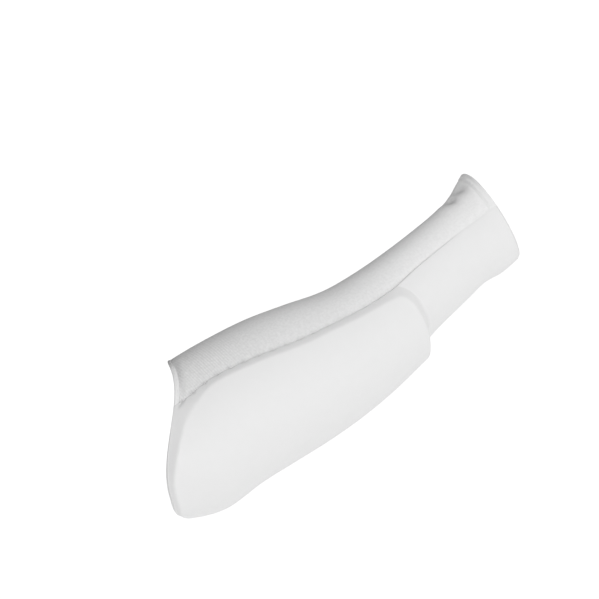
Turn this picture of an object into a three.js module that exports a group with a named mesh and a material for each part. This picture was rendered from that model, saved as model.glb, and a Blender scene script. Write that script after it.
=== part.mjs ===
// Padded forearm guard: a knitted sleeve with a covered foam pad on its outer side, pulled on over the hand.
// Millimetres. +X runs along the forearm to the wrist, +Z is the thumb side, -Y the outer side with the pad.
// Angles go round the forearm in degrees: 0 faces -Y and 90 faces +Z.
import * as THREE from 'three';

// Lengths along the forearm
const WRIST_X = 137.5; // wrist rim
const WRIST_TILT = 1; // how much further it reaches above than on the front, and less far below
const OPEN_X = -92.3; // elbow rim on the side away from the tongue
const TONGUE = 65.5; // reach of the padded tongue past that rim
const TONGUE_ANGLE = -53.3; // middle of the tongue
const TONGUE_SPREAD = 65.4; // how slowly the rim falls back on both sides of the tongue
const TONGUE_POWER = 2.4; // 2 is a plain bell curve, more is blunter
const TOP_REACH = 4.6; // reach of the rim's low second rise, at the top
const TOP_ANGLE = 76; // middle of that rise
const TOP_SPREAD = 22;
const PAD_END_X = 57; // wrist end of the pad
const END_SLANT = 3.8; // how much shorter the pad is underneath
const SLANT_FROM = 30; // angle downwards where the slant starts, and where it is full
const SLANT_TO = 75;

// Layers, measured outwards from the sleeve's outside
const GAP = 0.3; // between one piece and the next
const SLEEVE_WALL = 1.6;
const COVER_WALL = 1.2;
const PAD_TOP = 10.4; // outside of the cover over the thick foam
const PAD_FRONT = 4.8; // the same beside the front seam, where the foam is thin
const FULL_SHARE = 0.75; // share of the way from the front seam to the back one where the foam is thick
const ELBOW_SHARE = 0.52; // share of the foam's height at the elbow rim, in the middle of the tongue
const UPPER_SHARE = 0.95; // the same towards the front seam
const UPPER_FROM = -40; // angles between which it grows to that
const UPPER_TO = -10;
const ELBOW_FULL = 34; // distance from that rim where the height is full
const UNDER_SHARE = 0.24; // share of the height at the elbow rim underneath, where it grows in a round curve
const UNDER_FULL = 28; // distance from that rim where it is full there
const UNDER_FROM = 50; // angles downwards between which the rim's upper height changes to the one underneath
const UNDER_TO = 85;
const COVER_TOP = GAP + COVER_WALL; // outside of the cover where there is no foam
const BINDING_WALL = 1.0;
const BINDING_ROUND = 0.5; // corners of the folded hems
const HEM_WIDTH = 4.8;
const SLEEVE_INSET = BINDING_WALL + 3 * GAP; // how far the sleeve's edges stay inside the rims

// How the cover rises from its edges to the pad's face
const SIDE_RUN = 6.9; // length of the slope along the back seam
const FRONT_RUN = 5.4; // along the front seam
const FRONT_END_RUN = 8.6; // along the front seam at the pad's two ends
const FRONT_FROM = -122; // places between which it gets shorter after the elbow end
const FRONT_TO = -94;
const FRONT_AGAIN = 34; // places between which it gets longer again towards the wrist end
const FRONT_LAST = 60;
const END_RUN = 5.4; // at the wrist end
const ELBOW_RUN = 1.9; // at the elbow rim below
const CORNER_RUN = 9.3; // at the elbow rim above, beside the front seam
const CORNER_FROM = -45; // angles between which the elbow slope grows to that length
const CORNER_TO = 35;
const ELBOW_START = 0.2; // part of the elbow slope that is already climbed at the rim
const FOOT = 0.3; // share of the wrist slope that is rounded off at its foot
const COVER_FOOT = 2; // from the pad's wrist end to where the cover lies flat
const CORNER_POWER = 3; // corner between elbow rim and front seam: less is rounder
const PAD_CORNER = 2.2; // radius of the other corners, in lengths of the slope
const SHOULDER = 1.1; // length that is rounded off at the top

// Foam, inside the cover
const FOAM_INSET = 5; // from the back seam and from the pad's wrist end
const FOAM_FRONT = 8; // from the front seam
const FOAM_ELBOW = 4; // from the elbow rim
const FOAM_ELBOW_FRONT = 11; // the same beside the front seam
const FOAM_CORNER = 10; // radius of its corners at the wrist end
const FOAM_GAP = 0.8; // to the sleeve and the cover

// Outside of the sleeve: oval sections along the forearm
const SECTIONS = [
  { x: -165, centreZ: 9.1, halfHeight: 43.7, halfDepth: 39.5 },
  { x: -120, centreZ: 4.3, halfHeight: 45.1, halfDepth: 40.5 },
  { x: -94, centreZ: 4.65, halfHeight: 44.65, halfDepth: 40.5 },
  { x: -67, centreZ: 2.85, halfHeight: 44.15, halfDepth: 40.0 },
  { x: -40, centreZ: 0.3, halfHeight: 42.9, halfDepth: 39.0 },
  { x: -13.5, centreZ: -3.05, halfHeight: 39.55, halfDepth: 36.5 },
  { x: 13.5, centreZ: -5.55, halfHeight: 35.05, halfDepth: 32.5 },
  { x: 40, centreZ: -4.85, halfHeight: 31.75, halfDepth: 28.5 },
  { x: 67, centreZ: -2.75, halfHeight: 29.65, halfDepth: 25.0 },
  { x: 94, centreZ: 0, halfHeight: 28.2, halfDepth: 22.6 },
  { x: 108, centreZ: 1.5, halfHeight: 28.1, halfDepth: 22.0 },
  { x: 121, centreZ: 2.2, halfHeight: 30.0, halfDepth: 22.8 },
  { x: 137.5, centreZ: 6.7, halfHeight: 33.0, halfDepth: 25.6 },
];

// Seams that sew the cover to the sleeve, as angles
const SEAMS = [
  { x: -165, front: 24, back: -97 },
  { x: -117, front: 25, back: -98 },
  { x: -88, front: 26.5, back: -99 },
  { x: -60, front: 23.5, back: -101 },
  { x: -32, front: 19.5, back: -103.5 },
  { x: 8, front: 19.9, back: -107 },
  { x: 46, front: 17, back: -110.5 },
  { x: 70, front: 19.5, back: -112.5 },
  { x: 105, front: 17.8, back: -114 },
  { x: 121, front: 15.2, back: -114.5 },
  { x: 137.5, front: 6.5, back: -115 },
];

// Soft folds where the sleeve bunches over the wrist; the lean moves a fold along for each degree round
const FOLDS = [
  { x: 118.5, lean: -0.08, depth: 1.8, width: 2.6, angle: 74, spread: 12 },
  { x: 127.7, lean: -0.1, depth: 1.8, width: 2.6, angle: 70, spread: 13 },
];

// Mesh lines
const FIRST_ANGLE = -100; // where the closed rings start and end
const SLEEVE_COLUMNS = 36;
const SLEEVE_ROWS = 17; // from the elbow rim to the folds
const FOLD_ROWS = 15;
const FOLD_START_X = 96;
const COVER_COLUMNS = 26;
const COVER_ROWS = 28; // over the pad
const COVER_WRIST_ROWS = 10; // from the pad to the wrist hem
const SIDE_PULL = 0.75; // how strongly the lines gather at the seams, 0 to 1
const END_PULL = 0.85; // the same at the ends of the pad
const FOAM_COLUMNS = 14;
const FOAM_ROWS = 18;
const FOAM_PULL = 0.6;
const HEM_COLUMNS = 28;
const RIM_STEPS = 4; // rounds to find where a line of the cover meets the elbow rim
const SLOPE_STEP = 0.2; // distance over which slopes are measured

const { degToRad, radToDeg, euclideanModulo, lerp, smoothstep } = THREE.MathUtils;

function column(table, name) {
  const places = table.map((row) => row.x);
  const values = table.map((row) => row[name]);
  const spline = new THREE.CubicInterpolant(places, values, 1);
  return (x) => spline.evaluate(x)[0];
}

const centreZ = column(SECTIONS, 'centreZ');
const halfHeight = column(SECTIONS, 'halfHeight');
const halfDepth = column(SECTIONS, 'halfDepth');
const frontSeam = column(SEAMS, 'front');
const backSeam = column(SEAMS, 'back');

// Bell curve of height 1
const bell = (distance) => Math.exp(-0.5 * distance * distance);

function foldDepth(x, angle) {
  let depth = 0;
  for (const fold of FOLDS) {
    const away = angle - fold.angle;
    const along = x - fold.x - fold.lean * away;
    depth += fold.depth * bell(along / fold.width) * bell(away / fold.spread);
  }
  return depth;
}

// Point at a height above the sleeve's outside, or below it if the height is negative
function place(x, angle, height) {
  const turn = degToRad(angle);
  const depth = halfDepth(x);
  const tall = halfHeight(x);
  const out = new THREE.Vector2(-tall * Math.cos(turn), depth * Math.sin(turn)).normalize();
  const lift = height - foldDepth(x, angle);
  const y = -depth * Math.cos(turn) + lift * out.x;
  const z = centreZ(x) + tall * Math.sin(turn) + lift * out.y;
  return new THREE.Vector3(x, y, z);
}

// Mean radius of a section, which turns angles into lengths round the arm
const girthRadius = (x) => Math.hypot(halfHeight(x), halfDepth(x)) / Math.SQRT2;

const wrapped = (angle) => euclideanModulo(angle + 180, 360) - 180;
const tongueTurn = (angle) => wrapped(angle - TONGUE_ANGLE) / TONGUE_SPREAD;
const topTurn = (angle) => wrapped(angle - TOP_ANGLE) / TOP_SPREAD;

const tongueReach = (angle) => TONGUE * Math.exp(-0.5 * Math.abs(tongueTurn(angle)) ** TONGUE_POWER);
const topReach = (angle) => TOP_REACH * bell(topTurn(angle));

const elbowRim = (angle) => OPEN_X - tongueReach(angle) - topReach(angle);

// How far the rim runs along the forearm for each millimetre round it
function rimSlope(x, angle) {
  const turn = tongueTurn(angle);
  const steep = (TONGUE_POWER / 2) * Math.sign(turn) * Math.abs(turn) ** (TONGUE_POWER - 1);
  const onTongue = (tongueReach(angle) * steep) / TONGUE_SPREAD;
  const onTop = (topReach(angle) * topTurn(angle)) / TOP_SPREAD;
  return radToDeg(onTongue + onTop) / girthRadius(x);
}

// Distance in from the elbow rim
const insideRim = (x, angle) => Math.max(x - elbowRim(angle), 0) / Math.hypot(1, rimSlope(x, angle));

// Places square in from the two rims
const fromElbow = (angle, inset) => elbowRim(angle) + inset * Math.hypot(1, rimSlope(elbowRim(angle), angle));
const fromWrist = (angle, inset) => WRIST_X + WRIST_TILT * Math.sin(degToRad(angle)) - inset;

// Wrist end of the pad
const padEnd = (angle) => PAD_END_X - END_SLANT * smoothstep(-angle, SLANT_FROM, SLANT_TO);

// Share climbed at the wrist end, with a soft foot
function wristShare(share) {
  return Math.abs(share) < FOOT ? (share + FOOT) ** 2 / (4 * FOOT) : Math.max(share, 0);
}

// Shares of the slope that are climbed from the nearer side and from the nearer end, and the slope's length
function climb(x, angle) {
  const arc = degToRad(1) * girthRadius(x);
  const middle = smoothstep(x, FRONT_FROM, FRONT_TO) - smoothstep(x, FRONT_AGAIN, FRONT_LAST);
  const frontRun = lerp(FRONT_END_RUN, FRONT_RUN, middle);
  const elbowRun = lerp(ELBOW_RUN, CORNER_RUN, smoothstep(angle, CORNER_FROM, CORNER_TO));
  const front = ((frontSeam(x) - angle) * arc) / frontRun;
  const back = ((angle - backSeam(x)) * arc) / SIDE_RUN;
  const elbow = (insideRim(x, angle) + ELBOW_START) / elbowRun;
  const wrist = wristShare((padEnd(angle) - x) / END_RUN);
  const side = Math.max(Math.min(front, back), 0);
  const end = Math.min(wrist, elbow);
  const sideRun = front < back ? frontRun : SIDE_RUN;
  const endRun = wrist < elbow ? END_RUN : elbowRun;
  return { side, end, run: lerp(sideRun, endRun, smoothstep(side - end, -0.5, 0.5)) };
}

// Corner of two slopes that is sharp along the edges and rounder towards the face
const fullCorner = (side, end) => (side ** -CORNER_POWER + end ** -CORNER_POWER) ** (-1 / CORNER_POWER);

// Corner of two slopes that is cut round
function roundCorner(side, end) {
  if (Math.max(side, end) > PAD_CORNER) {
    return Math.min(side, end);
  }
  return Math.max(PAD_CORNER - Math.hypot(PAD_CORNER - side, PAD_CORNER - end), 0);
}

// Share of the pad's height that the cover has reached: 0 at the seams, 1 on the face
function rise(x, angle) {
  const { side, end, run } = climb(x, angle);
  const corner = x < 0 && angle > TONGUE_ANGLE ? fullCorner : roundCorner;
  const slope = corner(side, end);
  const soft = SHOULDER / run;
  const blend = Math.max(soft - Math.abs(slope - 1), 0) / soft;
  return Math.min(slope, 1) - (blend * blend * soft) / 4;
}

// Height of the pad's face, which grows from the front seam downwards and from the elbow rim inwards
function padTop(x, angle) {
  const share = (frontSeam(x) - angle) / (frontSeam(x) - backSeam(x));
  const foam = lerp(PAD_FRONT, PAD_TOP, smoothstep(share, 0, FULL_SHARE)) - COVER_TOP;
  const inset = insideRim(x, angle);
  const low = lerp(ELBOW_SHARE, UPPER_SHARE, smoothstep(angle, UPPER_FROM, UPPER_TO));
  const upper = lerp(low, 1, smoothstep(inset, 0, ELBOW_FULL));
  const under = 1 - (1 - UNDER_SHARE) * Math.max(1 - inset / UNDER_FULL, 0) ** 2;
  return COVER_TOP + foam * lerp(upper, under, smoothstep(-angle, UNDER_FROM, UNDER_TO));
}

const coverTop = (x, angle) => COVER_TOP + (padTop(x, angle) - COVER_TOP) * rise(x, angle);

// Underside of the cover, with the same wall on the slopes as on the face
function coverUnder(x, angle) {
  const round = radToDeg(SLOPE_STEP / girthRadius(x));
  const top = coverTop(x, angle);
  const along = (coverTop(x + SLOPE_STEP, angle) - top) / SLOPE_STEP;
  const across = (coverTop(x, angle + round) - top) / SLOPE_STEP;
  return Math.max(GAP, top - COVER_WALL * Math.hypot(1, along, across));
}

// Even shares from 0 to 1, gathered at both ends by the pull
function shares(count, pull = 0) {
  const even = Array.from({ length: count + 1 }, (_, i) => i / count);
  return even.map((u) => u - (pull * Math.sin(2 * Math.PI * u)) / (2 * Math.PI));
}

// Closed shell between two grids of points: rows run along the forearm, columns round it
function shell(outside, inside, ring) {
  const rows = outside.length;
  const columns = outside[0].length;
  const spans = ring ? columns : columns - 1;
  const points = [...outside.flat(), ...inside.flat()];
  const index = [];
  const outer = (i, j) => i * columns + (j % columns);
  const inner = (i, j) => (rows + i) * columns + (j % columns);
  const quad = (a, b, c, d) => index.push(a, b, c, a, c, d);
  const last = rows - 1;
  for (let j = 0; j < spans; j++) {
    for (let i = 0; i < last; i++) {
      quad(outer(i, j), outer(i + 1, j), outer(i + 1, j + 1), outer(i, j + 1));
      quad(inner(i, j), inner(i, j + 1), inner(i + 1, j + 1), inner(i + 1, j));
    }
    quad(outer(0, j), outer(0, j + 1), inner(0, j + 1), inner(0, j));
    quad(outer(last, j), inner(last, j), inner(last, j + 1), outer(last, j + 1));
  }
  if (!ring) {
    for (let i = 0; i < last; i++) {
      quad(outer(i, 0), inner(i, 0), inner(i + 1, 0), outer(i + 1, 0));
      quad(outer(i, spans), outer(i + 1, spans), inner(i + 1, spans), inner(i, spans));
    }
  }
  const geometry = new THREE.BufferGeometry().setFromPoints(points);
  geometry.setIndex(index);
  geometry.computeVertexNormals();
  return geometry;
}

const ringAngles = shares(SLEEVE_COLUMNS).slice(1).map((u) => FIRST_ANGLE + 360 * u);

// Knitted tube, whose ends lie inside the folded hems and the cover's end wall
function sleeveGeometry() {
  const start = (angle) => fromElbow(angle, SLEEVE_INSET);
  const end = (angle) => fromWrist(angle, SLEEVE_INSET);
  const toFolds = shares(SLEEVE_ROWS).map((u) => (angle) => lerp(start(angle), FOLD_START_X, u));
  const overFolds = shares(FOLD_ROWS).slice(1).map((u) => (angle) => lerp(FOLD_START_X, end(angle), u));
  const skin = (height) => [...toFolds, ...overFolds].map((rowX) =>
    ringAngles.map((angle) => place(rowX(angle), angle, height)));
  return shell(skin(0), skin(-SLEEVE_WALL), true);
}

// Angle at a share of the way from the back seam to the front seam
const panelAngle = (x, share) => lerp(backSeam(x), frontSeam(x), share);

// Where a line of the cover reaches an inset from the elbow rim
function panelStart(share, inset) {
  let x = OPEN_X;
  for (let i = 0; i < RIM_STEPS; i++) {
    x = fromElbow(panelAngle(x, share), inset);
  }
  return x;
}

// Cloth over the foam, with an upright end wall at the elbow rim that closes the sleeve's edge
function coverGeometry() {
  const columns = shares(COVER_COLUMNS, SIDE_PULL);
  const foot = (share) => padEnd(panelAngle(PAD_END_X, share)) + COVER_FOOT;
  const wristEnd = (share) => fromWrist(panelAngle(WRIST_X, share), HEM_WIDTH + GAP);
  const overPad = shares(COVER_ROWS, END_PULL).map((u) => (share, start) => lerp(start, foot(share), u));
  const toWrist = shares(COVER_WRIST_ROWS).slice(1).map((u) => (share) =>
    lerp(foot(share), wristEnd(share), u));
  const skin = (wall, height) => [...overPad, ...toWrist].map((rowX) => columns.map((share) => {
    const x = rowX(share, panelStart(share, wall));
    const angle = panelAngle(x, share);
    return place(x, angle, height(x, angle));
  }));
  const lip = (wall) => columns.map((share) => {
    const x = panelStart(share, wall);
    return place(x, panelAngle(x, share), -SLEEVE_WALL);
  });
  const outside = [lip(0), ...skin(0, coverTop)];
  const inside = [lip(COVER_WALL), ...skin(COVER_WALL, coverUnder)];
  return shell(outside, inside, false);
}

// Foam sheet between the sleeve and the cover
function foamGeometry() {
  const columns = shares(FOAM_COLUMNS);
  const skin = (height) => shares(FOAM_ROWS, FOAM_PULL).map((u) => columns.map((share) => {
    const start = panelStart(share, lerp(FOAM_ELBOW, FOAM_ELBOW_FRONT, smoothstep(share, 0.5, 1)));
    const end = padEnd(panelAngle(PAD_END_X, share)) - FOAM_INSET;
    const x = lerp(start, end, u);
    const past = Math.max(FOAM_CORNER - (end - x), 0);
    const inset = FOAM_INSET + FOAM_CORNER - Math.sqrt(FOAM_CORNER * FOAM_CORNER - past * past);
    const behind = radToDeg(inset / girthRadius(x));
    const before = radToDeg((inset + FOAM_FRONT - FOAM_INSET) / girthRadius(x));
    const angle = lerp(backSeam(x) + behind, frontSeam(x) - before, share);
    return place(x, angle, height(x, angle));
  }));
  const top = (x, angle) => coverUnder(x, angle) - FOAM_GAP;
  return shell(skin(top), skin(() => FOAM_GAP), false);
}

// Folded edge that wraps a rim: heights above the sleeve over distances in from the rim
function binding(angles, fromRim, ring) {
  const top = COVER_TOP;
  const bottom = -SLEEVE_WALL - GAP - BINDING_WALL;
  const wrap = (start, wall) => [
    { inset: HEM_WIDTH, height: top - wall },
    { inset: start + BINDING_ROUND, height: top - wall },
    { inset: start, height: top - wall - BINDING_ROUND },
    { inset: start, height: bottom + wall + BINDING_ROUND },
    { inset: start + BINDING_ROUND, height: bottom + wall },
    { inset: HEM_WIDTH, height: bottom + wall },
  ];
  const skin = (profile) => profile.map(({ inset, height }) =>
    angles.map((angle) => place(fromRim(angle, inset), angle, height)));
  const outside = skin(wrap(0, 0));
  const inside = skin(wrap(BINDING_WALL, BINDING_WALL));
  if (fromRim === fromElbow) {
    outside.reverse();
    inside.reverse();
  }
  return shell(outside, inside, ring);
}

const wristHemGeometry = () => binding(ringAngles, fromWrist, true);

// The hem at the elbow runs over the knitted side, from the front seam to the back seam
function elbowHemGeometry() {
  const frontX = panelStart(1, 0);
  const backX = panelStart(0, 0);
  const first = frontSeam(frontX) + 2 * radToDeg(GAP / girthRadius(frontX));
  const last = backSeam(backX) + 360 - 2 * radToDeg(GAP / girthRadius(backX));
  const angles = shares(HEM_COLUMNS).map((u) => lerp(first, last, u));
  return binding(angles, fromElbow, false);
}

const PIECES = [
  { name: 'sleeve', geometry: sleeveGeometry, color: 0xe4e4e3, roughness: 0.95 },
  { name: 'foam_pad', geometry: foamGeometry, color: 0xf2f1ec, roughness: 0.9 },
  { name: 'pad_cover', geometry: coverGeometry, color: 0xebebeb, roughness: 0.85 },
  { name: 'elbow_hem', geometry: elbowHemGeometry, color: 0xececec, roughness: 0.9 },
  { name: 'wrist_hem', geometry: wristHemGeometry, color: 0xe9e9e9, roughness: 0.9 },
];

const guard = new THREE.Group();
guard.name = 'forearm_guard';
for (const { name, geometry, color, roughness } of PIECES) {
  const material = new THREE.MeshStandardMaterial({ color, roughness, metalness: 0 });
  const mesh = new THREE.Mesh(geometry(), material);
  mesh.name = name;
  guard.add(mesh);
}

export default guard;
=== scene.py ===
"""White padded forearm guard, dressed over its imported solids: sleeve, covered foam pad, hems and stitches."""
import math

import bpy
import numpy as np
from mathutils import Matrix, Vector


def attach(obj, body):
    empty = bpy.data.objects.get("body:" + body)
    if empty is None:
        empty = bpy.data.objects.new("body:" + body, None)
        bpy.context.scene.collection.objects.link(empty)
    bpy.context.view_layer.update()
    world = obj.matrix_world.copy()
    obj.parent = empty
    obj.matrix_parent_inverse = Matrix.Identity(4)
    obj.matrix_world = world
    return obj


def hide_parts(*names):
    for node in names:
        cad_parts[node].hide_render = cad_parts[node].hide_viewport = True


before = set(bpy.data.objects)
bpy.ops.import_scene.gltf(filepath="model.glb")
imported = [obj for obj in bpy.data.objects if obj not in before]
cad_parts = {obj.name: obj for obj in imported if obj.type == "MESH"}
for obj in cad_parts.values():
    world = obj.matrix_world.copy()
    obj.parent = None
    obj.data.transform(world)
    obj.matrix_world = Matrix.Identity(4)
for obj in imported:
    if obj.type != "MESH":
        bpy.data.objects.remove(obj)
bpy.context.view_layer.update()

# Sizes are in millimetres and degrees. Most pairs are ramps: where a change starts and where it is complete
MM = 0.001

# Rims and ends along the sleeve, as in the solids
WRIST_X = 137.5
WRIST_TILT = 1.0
OPEN_X = -92.3
TONGUE = 65.5
TONGUE_ANGLE = -53.3
TONGUE_SPREAD = 65.4
TONGUE_POWER = 2.4
TOP_REACH = 4.6
TOP_ANGLE = 76
TOP_SPREAD = 22
PAD_END_X = 57.0

# Layers, measured outwards from the sleeve's outside
SLEEVE_WALL = 1.6
SLEEVE_INSET = 1.9
COVER_WALL = 1.2
COVER_TOP = 1.5
HEM_WIDTH = 4.8

# Height of the pad's face: full in the middle, lower at the front, at the tongue's tip and underneath it
PAD_TOP = 10.4
PAD_FRONT = 4.8
FULL_SHARE = 0.75
ELBOW_SHARE = 0.52
CORNER_SHARE = 0.95
CORNER_ANGLES = (-40, -10)
ELBOW_FULL = 34
UNDER_SHARE = 0.24
UNDER_FULL = 28
UNDER_ANGLES_DOWN = (50, 85)

# How the cover rises to the pad's face
SIDE_RUN = 6.9
FRONT_RUN = 5.4
FRONT_END_RUN = 8.6
FRONT_STEEPENS_X = (-122, -94)
FRONT_EASES_X = (34, 60)
END_RUN = 5.4
END_SLANT = 3.8
END_ANGLES_DOWN = (30, 75)
FOOT = 0.3
ELBOW_RUN = 1.9
ELBOW_START = 0.2
CORNER_RUN = 9.3
CORNER_RUN_ANGLES = (-45, 35)
CORNER_POWER = 3
PAD_CORNER = 2.2
SHOULDER = 1.1
RUN_BLEND = (-0.5, 0.5)
LEAST_CLIMB = 1e-6

# Foam inside the cover
FOAM_INSET = 5
FOAM_FRONT = 8
FOAM_ELBOW = 4
FOAM_ELBOW_FRONT = 11
FOAM_FRONT_SHARES = (0.5, 1)
FOAM_CORNER = 10
FOAM_GAP = 0.8
FOAM_UNDER_WALLS = 1.6
FOAM_LEAST_TOP = 0.7
FOAM_BOTTOM = 0.3

SECTIONS = [
    {"x": -165, "centre_z": 9.1, "half_height": 43.7, "half_depth": 39.5},
    {"x": -120, "centre_z": 4.3, "half_height": 45.1, "half_depth": 40.5},
    {"x": -94, "centre_z": 4.65, "half_height": 44.65, "half_depth": 40.5},
    {"x": -67, "centre_z": 2.85, "half_height": 44.15, "half_depth": 40.0},
    {"x": -40, "centre_z": 0.3, "half_height": 42.9, "half_depth": 39.0},
    {"x": -13.5, "centre_z": -3.05, "half_height": 39.55, "half_depth": 36.5},
    {"x": 13.5, "centre_z": -5.55, "half_height": 35.05, "half_depth": 32.5},
    {"x": 40, "centre_z": -4.85, "half_height": 31.75, "half_depth": 28.5},
    {"x": 67, "centre_z": -2.75, "half_height": 29.65, "half_depth": 25.0},
    {"x": 94, "centre_z": 0.0, "half_height": 28.2, "half_depth": 22.6},
    {"x": 108, "centre_z": 1.5, "half_height": 28.1, "half_depth": 22.0},
    {"x": 121, "centre_z": 2.2, "half_height": 30.0, "half_depth": 22.8},
    {"x": 137.5, "centre_z": 6.7, "half_height": 33.0, "half_depth": 25.6},
]

SEAMS = [
    {"x": -165, "front": 24, "back": -97},
    {"x": -117, "front": 25, "back": -98},
    {"x": -88, "front": 26.5, "back": -99},
    {"x": -60, "front": 23.5, "back": -101},
    {"x": -32, "front": 19.5, "back": -103.5},
    {"x": 8, "front": 19.9, "back": -107},
    {"x": 46, "front": 17, "back": -110.5},
    {"x": 70, "front": 19.5, "back": -112.5},
    {"x": 105, "front": 17.8, "back": -114},
    {"x": 121, "front": 15.2, "back": -114.5},
    {"x": 137.5, "front": 6.5, "back": -115},
]

FOLDS = [
    {"x": 118.5, "lean": -0.08, "depth": 2.5, "width": 2.4, "angle": 74, "spread": 11},
    {"x": 127.7, "lean": -0.1, "depth": 2.5, "width": 2.6, "angle": 70, "spread": 12},
]

# Middle of the turn whose angles run on across both seams
TURN_MIDDLE = 60

# The knit bends a little sharper over its upper front
BULGE = 0.65
BULGE_ANGLE = 52
BULGE_SPREAD = 14

# Low soft waves of each cloth, and how far from a seam or an end they start
WAVE_COUNT = 6
WAVE_GIRTH = 40
WAVE_LENGTHS = (0.7, 1.5)
COVER_WAVES = [
    {"height": 0.16, "length": 46, "seed": 4},
    {"height": 0.05, "length": 13, "seed": 9},
]
KNIT_WAVES = [{"height": 0.22, "length": 38, "seed": 2}]
HEM_WAVES = [{"height": 0.06, "length": 16, "seed": 6}]
FOAM_WAVES = [{"height": 0.1, "length": 9, "seed": 5}]
COVER_CALM = 12
KNIT_CALM = 10
HEM_CALM = 12

# Seam grooves and the pulls of the thread along them
GROOVE_WIDTH = 1.15
GROOVE_PAD = 0.65
GROOVE_WRIST = 0.22
DIMPLE_PITCH = 10.05
DIMPLE_X = -97.2
DIMPLE_WIDTH = 1.2
DIMPLE_DEPTH = 0.42
DIMPLE_WIDENS = 0.35
DIMPLES_FADE_X = (-70, 40)

# Rolled edges of the cover, and its flat run to the wrist
HEM_ROLL = 2.5
HEM_TOP = 0.45
HEM_TOP_RAMP = (2, 16)
EDGE_ROLL = 0.7
EDGE_ROLL_RAMP = (3.6, 8)
EDGE_TOP = 0.1
EDGE_DROP = 0.13
EDGE_DROP_X = (85, 110)
SEWN_RAMP = (3.6, 6.4)
WRIST_COVER = 0.75
WRIST_FLUSH = 0.08
FLUSH_X = (82, 112)
ON_WRIST_X = (PAD_END_X - 6, PAD_END_X + 14)
TURNED_DROP = 0.8
TURNED_RAMP = (0.2, 1.8)
NOSE = 0.45
NOSE_ROUND = 0.8
NOSE_LIFT = 0.85
NOSE_RUN = 12
COVER_FOOT = 2
COVER_END = 0.3
COVER_UNDER_WALLS = 1.15
COVER_LOWEST = -0.2
COVER_THINNEST = 0.15

# Drops of the knit under the cover and beside the hems
UNDER_DROP = 0.5
UNDER_RAMP = (0, 2)
HEM_VALLEY = 1.0
HEM_VALLEY_RAMP = (2.6, 8.0)
HEM_VALLEY_ENDS = (0.87, 0.95)
ELBOW_TUCK = 0.3
ELBOW_TUCK_RAMP = (1.9, 3.6)
WRIST_VALLEY = 0.3
WRIST_VALLEY_RAMP = (5.0, 10.0)
WRIST_TUCK = 0.7
WRIST_TUCK_RAMP = (3.6, 6.2)
THINNEST = 0.45

# Knit ribs round the sleeve
RIB_PITCH = 1.75
RIB_ELBOW = 0.055
RIB_SWING = 1.6
RIB_POWER = 0.7
RIBS_FADE_X = (-95, -42)
RIBS_FROM_SEAM = (0.8, 3.0)
RIBS_FROM_HEM = (4, 7)
RIB_START_X = -85.0
RIB_END_X = -20.0

# Mesh lines
ROWS_PER_RIB = 5
STRETCHED_ROWS = 150
PLAIN_ROWS = 150
KNIT_COLUMNS = 102
HIDDEN_COLUMNS = 36
KNIT_PULL = 0.7
SLEEVE_STEP = 3
COVER_COLUMNS = 140
COVER_ROWS = 200
COVER_WRIST_ROWS = 60
NOSE_ROWS = 16
COVER_STEP = 4
SIDE_PULL = 0.8
END_PULL = 0.8
RIM_STEPS = 5
WRIST_HEM_COLUMNS = 200
ELBOW_HEM_COLUMNS = 180
HEM_OUTER_POINTS = 10
FOAM_COLUMNS = 60
FOAM_ROWS = 120
FOAM_PULL = 0.6
FOAM_STEP = 4

# Folded hems: points of inset and height above the sleeve, from the outer edge over the rim and back inside
ELBOW_HEM_PROFILE = [
    (3.4, -1.0), (3.1, -0.8), (2.8, -0.55), (2.4, -0.22), (2.0, 0.08), (1.5, 0.3), (1.0, 0.38), (0.6, 0.34),
    (0.25, 0.18), (0.05, -0.1), (0.0, -0.7), (0.1, -1.6), (0.6, -2.4), (1.5, -2.8), (3.0, -2.85), (4.8, -2.6),
    (4.8, -1.75), (1.5, -1.75), (1.0, -1.5), (1.0, -1.2), (1.3, -1.05), (2.2, -1.05), (3.0, -1.12),
]
WRIST_HEM_FRONT = [
    (6.2, -0.5), (5.4, -0.28), (4.7, -0.12), (4.0, -0.04), (3.3, 0.0), (2.6, 0.01), (1.9, 0.0), (1.2, -0.1),
    (0.6, -0.35), (0.15, -0.8), (0.0, -1.4), (0.2, -2.1), (0.8, -2.6), (1.8, -2.85), (3.2, -2.85),
    (4.8, -2.6), (4.8, -1.75), (1.5, -1.75), (1.1, -1.5), (1.1, -1.25), (1.5, -1.1), (3.4, -0.9), (5.0, -0.8),
]
WRIST_HEM_TOP = [
    (6.2, -0.6), (5.6, -0.5), (5.0, -0.35), (4.4, -0.05), (3.9, 0.25), (3.4, 0.32), (2.7, 0.05), (1.6, -0.5),
    (0.7, -0.95), (0.2, -1.35), (0.0, -1.7), (0.2, -2.2), (0.8, -2.6), (1.8, -2.85), (3.2, -2.85),
    (4.8, -2.6), (4.8, -1.75), (1.5, -1.75), (1.1, -1.5), (1.1, -1.25), (1.5, -1.1), (3.4, -0.9), (5.0, -0.8),
]
WRIST_HEM_START = -100
ELBOW_HEM_CLEAR = 0.05
HEM_INSIDE = -0.9
COVERED_RAMP = (-1.0, 0.5)
COVERED_HEIGHTS = (-0.9, -0.5)
COVERED_DROP = 0.35

# The wrist hem rolls most at this angle
CREST_ANGLE = 58
CREST_SPREAD = 16
CREST_INSET = 3.6
CREST_WIDTH = 0.55

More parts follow.
